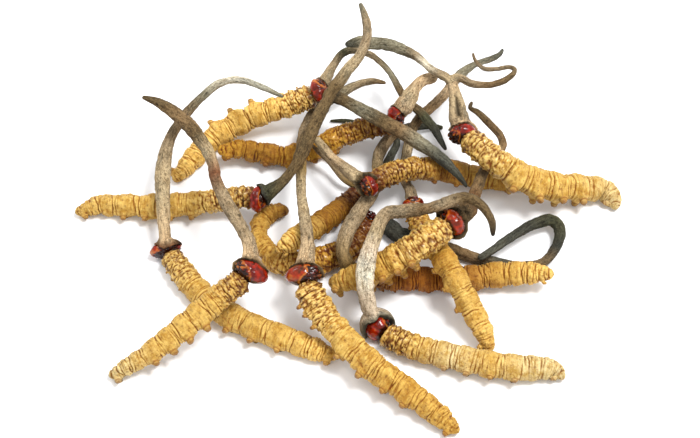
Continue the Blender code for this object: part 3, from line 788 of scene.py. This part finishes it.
add_stalk(
    "stalk_05_lower", "coal drab dove drab taupe dove slate slate coal", (331, 96, 13, 1.5),
    (345, 101, 13, 1.3), (362, 110, 13, 1.4), (380, 120, 13, 1.6), (400, 131, 12.5, 1.7),
    (424, 146, 11.5, 1.6), (443, 160, 10, 1.4), (457, 174, 9, 1), (467, 187, 7.5, 0.4),
    slot="stalk_dark", hood=45, foot="olive",
)
add_stalk(
    "stalk_06_trunk", "stone ash clay", (461, 122, 11, 2.5), (458, 112, 12, 2.2), (456, 100, 12.5, 1.75),
    (454, 91, 13.5, 1.45), (452, 83, 14.5, 1.25), (450, 80, 14.9, 1.1),
    hood=75, open=0.35, thick=0.5, cleft=9, foot="clay",
)
add_stalk(
    "stalk_06_left", "ash stone bone stone dove dove dove dove slate", (451, 81, 14.7, 1.15),
    (446, 77, 15, 1.15), (440, 74, 15, 1.15), (431, 69, 15.5, 1), (422, 61, 15.5, 1), (412, 54, 15.5, 1.1),
    (398, 48, 16, 1.35), (384, 44, 16, 1.45), (370, 43, 16.5, 1.45), (358, 42, 16.5, 1.3),
    (345, 45, 16.5, 0.5),
   
)
add_stalk(
    "stalk_06_right", "ash stone taupe drab stone stone taupe", (450, 80, 14.7, 1), (455, 78, 14.1, 0.95),
    (460, 78, 13.5, 0.9), (466, 81, 13.5, 0.9), (473, 84, 13.5, 0.85), (489, 85, 13.5, 0.75),
    (501, 82, 13.5, 0.8), (511, 76, 13.5, 0.75), (515, 70, 13.5, 0.6), (509, 67, 13.5, 0.5),
    (497, 69, 13.5, 0.5), (485, 69, 13.5, 0.5), (478, 64, 13.5, 0.4), (474, 58, 13.5, 0.35),
    (473, 53, 13.5, 0.25),
   
)
add_stalk(
    "stalk_07", "clay ash clay clay clay", (404, 107, 12, 2), (407, 102, 12, 2), (411, 95, 12, 1.75),
    (415, 88, 12, 1.35), (422, 81, 12, 1.3), (431, 78, 12, 1.25), (438, 77, 12, 1),
    hood=60, foot="stone",
)
add_stalk(
    "stalk_08", "ash stone clay ash ash", (361, 180, 11.5, 1.8), (352, 174, 11, 1.65), (342, 166, 10, 1.4),
    (331, 157, 9.5, 1.1), (323, 147, 8.5, 1), (316, 139, 7.5, 0.95),
    hood=88, open=0.6, thick=0.8, foot="drab",
)
add_stalk(
    "stalk_09", "pearl pearl bone pearl ash stone stone taupe stone drab drab drab soot",
    (371, 318, 4.5, 1.5), (368, 306, 7.5, 1.7), (366, 291, 10.5, 1.75), (365, 275, 13.5, 1.8),
    (368, 256, 16, 1.85), (374, 238, 16.5, 1.6), (380, 222, 16.5, 1.45), (388, 213, 17, 1.4),
    (403, 211, 17.5, 1.45), (418, 210, 18, 1.4), (434, 207, 18.5, 1.4), (449, 202, 19, 1.5),
    (461, 198, 19.5, 1.5), (472, 199, 20, 1.3), (480, 204, 20.5, 1.05), (487, 212, 21, 0.9),
    (492, 222, 21.5, 0.75), (493, 236, 21.5, 0.35),
    hood=122, open=0.74, thick=1, foot="dove",
)
add_stalk(
    "stalk_10", "drab umber taupe drab taupe taupe taupe drab drab", (459, 225, 15, 1.7),
    (465, 216, 14.5, 2), (470, 206, 12.5, 1.8), (474, 196, 10.5, 1.5), (478, 186, 9, 1.45),
    (482, 175, 7, 1.3), (489, 164, 7, 1.1), (497, 154, 6.5, 1), (503, 145, 6, 0.9), (500, 135, 6, 0.85),
    (493, 127, 5.5, 0.85), (485, 119, 5, 0.8), (477, 112, 4.5, 0.7), (470, 108, 4.5, 0.5),
    (472, 102, 4, 0.3),
    slot="stalk_grey", hood=105, open=0.62, thick=1, foot="drab",
)
add_stalk(
    "stalk_11", "stone stone ash drab taupe clay dove dove slate", (415, 197, 5, 1.6), (409, 188, 2.5, 1.35),
    (404, 178, 2.5, 1.3), (405, 165, 3.5, 1.35), (408, 147, 4.5, 1.3), (412, 131, 5, 1.2),
    (419, 119, 5.5, 1.2), (429, 109, 5.5, 1.15), (437, 102, 5.5, 1.15), (446, 93, 5.5, 1.15),
    (455, 80, 5.5, 1.1), (466, 70, 5, 0.95), (476, 64, 5, 0.7), (488, 60, 5, 0.7), (499, 55, 5, 0.6),
    (503, 49, 5, 0.35),
    slot="stalk_grey", hood=50, foot="clay",
)
add_stalk(
    "stalk_12", "olive stone stone stone olive stone taupe slate moss", (341, 264, 6, 1.8),
    (342, 252, 7.5, 1.7), (348, 230, 8, 1.7), (360, 210, 7, 1.6), (372, 193, 5.5, 1.4), (377, 175, 4, 1.3),
    (378, 158, 4, 1.3), (384, 145, 4, 1.3), (397, 132, 3.5, 1.2), (412, 127, 2.5, 1.1), (428, 126, 1.5, 0.9),
    (443, 128, 0.5, 0.5),
    hood=50, foot="olive",
)
add_stalk(
    "stalk_12_branch", "drab slate slate moss moss", (376, 177, 4, 1.1), (381, 173, 2.4, 1.1),
    (386, 166, 1.1, 1.05), (391, 156, 1, 1), (397, 143, 1, 0.9), (390, 132, 1, 0.8), (365, 125, 1, 0.7),
    (345, 121, 0.5, 0.5), (330, 121, 0.5, 0.25),
   
)
# Its foot and first stretch, deep under the heap, are painted near black as shade
add_stalk(
    "stalk_13", "coal coal drab taupe slate taupe coal moss coal slate slate", (385, 220, 2, 1.7),
    (391, 227, 2, 1.85), (397, 234, 2, 1.85), (412, 240, 2, 1.8), (432, 246, 2, 1.7), (456, 252, 1.5, 1.45),
    (468, 256, 1.5, 1.35), (483, 260, 1.5, 1.3), (500, 263, 1.5, 1.25), (522, 266, 1, 1.2),
    (542, 263, 1.5, 1.2), (555, 249, 2, 1.2), (560, 231, 2.5, 1.25), (551, 220, 3, 1.3),
    (530, 226, 3.5, 1.1), (507, 240, 4, 1), (490, 252, 4.5, 0.9), (478, 259, 4, 0.75),
    slot="stalk_dark", hood=50, foot="soot",
)
add_stalk(
    "stalk_14", "olive stone taupe", (352, 185, 2, 0.9), (343, 179, 3, 0.8), (336, 170, 3.5, 0.7),
    (327, 159, 4.5, 0.65), (319, 152, 5, 0.6), (312, 145, 6, 0.3),
    hood=35, foot="olive",
)

# sRGB colours of the bark. Along a stalk they are partly its own colour and partly painted shade, darker
# where it passes under other pieces
TINTS = {
    "bone": (0.86, 0.83, 0.74), "pearl": (0.75, 0.69, 0.6), "silver": (0.68, 0.67, 0.6),
    "clay": (0.74, 0.64, 0.5), "ash": (0.66, 0.59, 0.46), "stone": (0.58, 0.51, 0.4),
    "dove": (0.5, 0.48, 0.4), "olive": (0.5, 0.41, 0.24), "taupe": (0.48, 0.39, 0.27),
    "rust": (0.44, 0.28, 0.18), "drab": (0.4, 0.33, 0.22), "umber": (0.36, 0.22, 0.11),
    "slate": (0.31, 0.31, 0.27), "moss": (0.28, 0.28, 0.2), "coal": (0.23, 0.23, 0.2),
    "soot": (0.12, 0.1, 0.07),
}

# What a tint is multiplied by in the shade, where it is weathered, on a high spot and in a pit
BARK_SHADES = (
    linear((0.76, 0.71, 0.64)), linear((0.62, 0.66, 0.7)), (1.5, 1.45, 1.4, 1), linear((0.42, 0.36, 0.28)),
)
# The near black painted as shade into furrows, pits, the cleft and under a hood's rim
HOLLOW_SHADE_COLOUR = (0.1, 0.08, 0.05)

STALK_GAP = 0.5  # mm, from the head to where a stalk without a hood starts
ROOT_LENGTH = 3.5  # mm, how far up a stalk its root bends
BARK_STEP = 0.32  # mm along a stalk between two rings of its mesh
BARK_SIDES = 32
TIP_RINGS = 7
HOOD_RINGS = 16
BARK_GIRTH = 1.6  # mm, the radius at which the random numbers for the bark are read
# How much of the stalk's radius each of these takes or adds, and a pit's depth in mm
PINCH, FLATTENED, FURROW, WRINKLE, CLEFT, PIT_DEPTH = 0.06, 0.1, 0.12, 0.085, 0.75, 0.1


def carried_round(ways, first):
    """A way across the stalk at each point that turns with it and no more."""
    across = [unit(first - ways[0] * (first @ ways[0]))]
    for way in ways[1:]:
        across.append(unit(across[-1] - way * (across[-1] @ way)))
    return np.array(across)


def head_surface(ways, size, axes):
    """How far the head's surface is from its middle along these ways, in mm."""
    return 1 / np.linalg.norm(ways @ axes.T / size, axis=-1)


def rooted(curve, middle, size, axes, thick):
    """The stalk's curve with its first few mm bent, so that it leaves the head straight."""
    reach = reach_of(curve)
    onward = unit(curve[3, :3] - curve[0, :3])
    out = unit(unit(curve[0, :3] - middle) + 0.7 * onward)
    start = middle + out * (head_surface(out, size, axes) + thick + 0.3)
    join = int(np.argmax(reach > ROOT_LENGTH))
    way = unit(curve[join + 1, :3] - curve[join - 1, :3])
    pull = 0.4 * np.linalg.norm(curve[join, :3] - start)
    part = np.linspace(0, 1, 12)[:-1, None]
    bend = start * (1 - part) ** 3 + (start + out * pull) * 3 * part * (1 - part) ** 2
    bend += (curve[join, :3] - way * pull) * 3 * part**2 * (1 - part) + curve[join, :3] * part**3
    widths = np.interp(part[:, 0] * reach[join], reach, curve[:, 3])
    return np.concatenate([np.column_stack([bend, widths]), curve[join:]])


def stalk_form(name, stalk, seed):
    dice = np.random.RandomState(seed * 13 + 5)
    larva = LARVAE[name.split("_")[1]]
    middle, size, axes = head_axes(larva)
    gap = STALK_START * larva["route"][0][3] + STALK_GAP
    curve = clear_of(smooth_curve(stalk["route"]), middle, gap)
    if stalk["hood"]:
        curve = rooted(curve, middle, size, axes, stalk["thick"])
    length = reach_of(curve)[-1]
    tip = curve[-1, 3]
    root = 0.0 if stalk["hood"] else -0.8
    distances = ring_places(root, length, tip, BARK_STEP, np.linspace(0.05, 0.99, TIP_RINGS))
    line = smoothed(at(curve, distances), 4)
    centres, radii = line[:, :3], line[:, 3]
    ways = unit(np.gradient(centres, axis=0))
    turn = ring_angles(BARK_SIDES)
    out = unit(centres[0] - middle)
    across = carried_round(ways, unit(np.cross(out, (0.3, 0.5, 0.8))))
    over = np.cross(ways, across)
    along = distances[:, None] + 0 * turn
    turns = turn + 0.05 * along
    bark = wrapped(turns, BARK_GIRTH, along)

    # Drying wrinkled it lengthwise, pinched it here and there and flattened it a little
    ribs = np.abs(bumps(bark * (1.2, 1.2, 0.13), seed)) * 2
    furrow = np.clip(1 - ribs, 0, 1) ** 2
    fine = bumps(bark * (2.6, 2.6, 0.9), seed + 1) + 0.6 * bumps(bark * (4.5, 4.5, 2.2), seed + 5)
    pinch = bumps(distances[:, None] * (0, 0, 0.3), seed + 2)
    flat = np.cos(2 * (turn - 0.6 - 0.06 * along))
    form = 1 + PINCH * pinch[:, None] + FLATTENED * flat - FURROW * furrow + WRINKLE * fine
    pits = soft_step(bumps(bark * (1.9, 1.9, 1.3), seed + 3), 0.45, 0.8)
    spoke = across[:, None] * np.cos(turn)[:, None] + over[:, None] * np.sin(turn)[:, None]
    split = unit(EYE_WAY - ways * (ways @ EYE_WAY)[:, None])
    cleft = soft_step((spoke * split[:, None]).sum(axis=-1) - 0.02 * bumps(bark * 0.5, seed), 0.95, 0.99)
    cleft = cleft * soft_step(along, -1, 2)
    cleft = cleft * (1 - soft_step(along, 0.4 * stalk["cleft"], stalk["cleft"] + 0.01))
    wide = radii[:, None] * (form - CLEFT * cleft) - PIT_DEPTH * pits
    wide = np.maximum(wide, 0.25 * radii[:, None])
    rings = centres[:, None] + spoke * (wide * blunt(distances, length, tip))[..., None]
    # Furrows, pits and the cleft get painted shade
    hollow = np.clip(0.45 * furrow + 0.7 * pits + cleft, 0, 1)

    tints = spread(distances, length, [linear(TINTS[tint])[:3] for tint in stalk["tints"]])
    tints = tints[:, None] + 0 * rings
    if stalk["hood"]:
        rings, bark, hollow, tints = with_hood(stalk, seed, middle, size, axes, rings, bark, hollow, tints)
    body = Body()
    body.add_rings(rings, bark=bark, hollow=hollow, tint=tints)
    return body


def with_hood(stalk, seed, middle, size, axes, rings, bark, hollow, tints):
    """The stalk with its foot spread over the head, from a torn rim up to the first ring."""
    spokes = rings[0] - rings[0].mean(axis=0)
    out = unit(rings[0].mean(axis=0) - middle)
    reach = unit(spokes - out * (spokes @ out)[:, None])
    thick = stalk["thick"]
    ways = unit(rings[0] - middle)
    start = np.arccos(np.clip(ways @ out, -1, 1))
    first = np.maximum(np.linalg.norm(rings[0] - middle, axis=-1), head_surface(ways, size, axes) + thick)
    angle = ring_angles(BARK_SIDES)
    circle = wrapped(angle, 1.4, 0)
    torn = bumps(circle, seed + 7) + 0.5 * bumps(circle * 2.5, seed + 8)
    facing = soft_step(reach @ EYE_WAY, -0.15, 0.5)
    cover = radians(stalk["hood"]) * (1 + 0.25 * torn) * (1 - stalk["open"] * facing)
    cover = np.maximum(cover, start + 0.12)
    # The rim turns in under itself, then the hood climbs to the stalk. The third number in a row is the
    # share of painted shade that its ring gets, full under the rim and less up the hood
    rows = [(-0.12, -0.3, 1, 0), (-0.06, -0.05, 1, 0)]
    rows += [(-0.03, 0.5 * thick, 0.9, 0), (0, 0.85 * thick, 0.5, 0)]
    rows += [(0, thick, 0.45 - 0.4 * part, part) for part in np.arange(1, HOOD_RINGS) / HOOD_RINGS]
    hood = []
    for back, lift, _, part in rows:
        polar = cover + back + (start - cover) * part
        way = out * np.cos(polar)[:, None] + reach * np.sin(polar)[:, None]
        far = head_surface(way, size, axes) + lift
        far = far + (first - far) * part**2.2
        wrinkle = 0.2 * bumps(wrapped(angle, 2.6, part), seed + 9)
        wrinkle = wrinkle + 0.1 * bumps(wrapped(angle, 5.5, 3 * part), seed + 10)
        far = far + wrinkle * sin(pi * min(part * 1.2, 1))
        hood.append(middle + way * far[:, None])
    hood = np.array(hood)
    amount = len(hood)
    lead = -np.linspace(2.5, 0.2, amount)[:, None] + 0 * angle
    hood_bark = np.stack([bark[0, :, 0] + 0 * lead, bark[0, :, 1] + 0 * lead, lead], axis=-1)
    hood_shading = np.array([shading for _, _, shading, _ in rows])[:, None]
    hood_shading = np.clip(hood_shading + 0.5 * bumps(hood_bark * (2, 2, 0.7), seed), 0, 1)
    foot = np.array(linear(TINTS[stalk["foot"]])[:3])
    blend = np.linspace(0, 1, amount)[:, None, None] ** 2
    hood_tints = foot * (1 - blend) + tints[:1] * blend
    pairs = ((hood, rings), (hood_bark, bark), (hood_shading, hollow), (hood_tints, tints))
    return [np.concatenate(pair) for pair in pairs]


def bark_finish():
    finish = Finish("stalk_bark", Specular_IOR_Level=0.15)
    bark, tint = finish.note("bark", "Vector"), finish.note("tint", "Vector")
    streaks = finish.clouds(bark, 1.6, 5, (1, 1, 0.25), 0.7)
    grain = finish.clouds(bark, 2.0, 5, (1, 1, 0.6), 0.7)
    specks = finish.clouds(bark, 4.5, 2)
    weather = finish.clouds(bark, 0.45, 3, (1, 1, 0.4))
    shade, grey, lit, pitted = [finish.mix(1.0, tint, colour, "MULTIPLY") for colour in BARK_SHADES]
    # The hollows are painted near black as shade
    finish.drive("Base Color", finish.coats(finish.mix(finish.range(streaks, 0.36, 0.6), shade, tint), (
        (weather, 0.5, 0.66, 0.7, grey),
        (weather, 0.48, 0.34, 0.4, lit),
        (grain, 0.51, 0.64, 0.75, pitted),
        (grain, 0.47, 0.35, 0.7, lit),
        (specks, 0.46, 0.34, 0.7, lit),
        (specks, 0.55, 0.68, 0.6, pitted),
        (finish.note("hollow"), 0.25, 0.95, 0.8, linear(HOLLOW_SHADE_COLOUR)),
    )))
    finish.drive("Roughness", finish.range(streaks, 0.3, 0.7, 0.7, 0.9))
    finish.relief((streaks, 0.28), (grain, 0.2))
    return finish.material


bark_material = bark_finish()
for seed, (name, stalk) in enumerate(STALKS.items()):
    piece = stalk_form(name, stalk, seed).make(f"fruiting_{name}", bark_material)
    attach(piece, "root")
    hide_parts(name)


# ---- The table ----
# A sheet of matt white paper that the heap lies loose on. It is far wider than the view, so that no edge
# of it shows.

FLOOR_HALF = 3.0  # m
FLOOR_DROP = 0.00005  # m, which keeps it off the flat undersides
PAPER = (0.88, 0.88, 0.885, 1)

sheet = bpy.data.meshes.new("table_top")
corners = [(x * FLOOR_HALF, y * FLOOR_HALF, 0) for x, y in ((-1, -1), (1, -1), (1, 1), (-1, 1))]
sheet.from_pydata(corners, [], [(0, 1, 2, 3)])
floor = added("table_top", sheet)
floor.location.z = -FLOOR_DROP
paper = Finish("white_paper", Roughness=0.9, Specular_IOR_Level=0.1)
paper.shader.inputs["Base Color"].default_value = PAPER
sheet.materials.append(paper.material)


# ---- The light ----
# One large soft lamp high on the right and a weaker one on the left, inside white walls that light the
# heap from all round.

WALLS = (0.97, 0.98, 1.0, 1)
WALL_LIGHT = 1.05


def add_lamp(name, place_at, size, power):
    lamp = bpy.data.lights.new(name, "AREA")
    lamp.shape = "DISK"
    lamp.size = size
    lamp.energy = power
    holder = added(name, lamp)
    holder.location = place_at
    holder.rotation_euler = (-Vector(place_at)).to_track_quat("-Z", "Y").to_euler()


add_lamp("key_lamp", (0.33, 0.0, 0.84), size=0.33, power=9.0)
add_lamp("fill_lamp", (-0.5, 0.3, 0.6), size=0.2, power=1.2)

world = bpy.data.worlds.new("white_room")
world.use_nodes = True
walls = world.node_tree.nodes["Background"].inputs
walls["Color"].default_value = WALLS
walls["Strength"].default_value = WALL_LIGHT
scene.world = world
scene.view_settings.view_transform = "Standard"


# ---- The camera ----
# A long lens over the front edge of the table, where the photograph was taken from, aimed at the middle
# of the heap.

lens = bpy.data.cameras.new("camera")
lens.lens = LENS
lens.sensor_width = FILM_WIDTH
camera = added("camera", lens)
aim = Vector((-PILE_MIDDLE[0], -PILE_MIDDLE[1], EYE_AIM)) * MM
camera.location = aim + Vector(EYE_WAY) * EYE_DISTANCE * MM
camera.rotation_euler = (pi / 2 - EYE_TILT, 0, 0)
scene.camera = camera
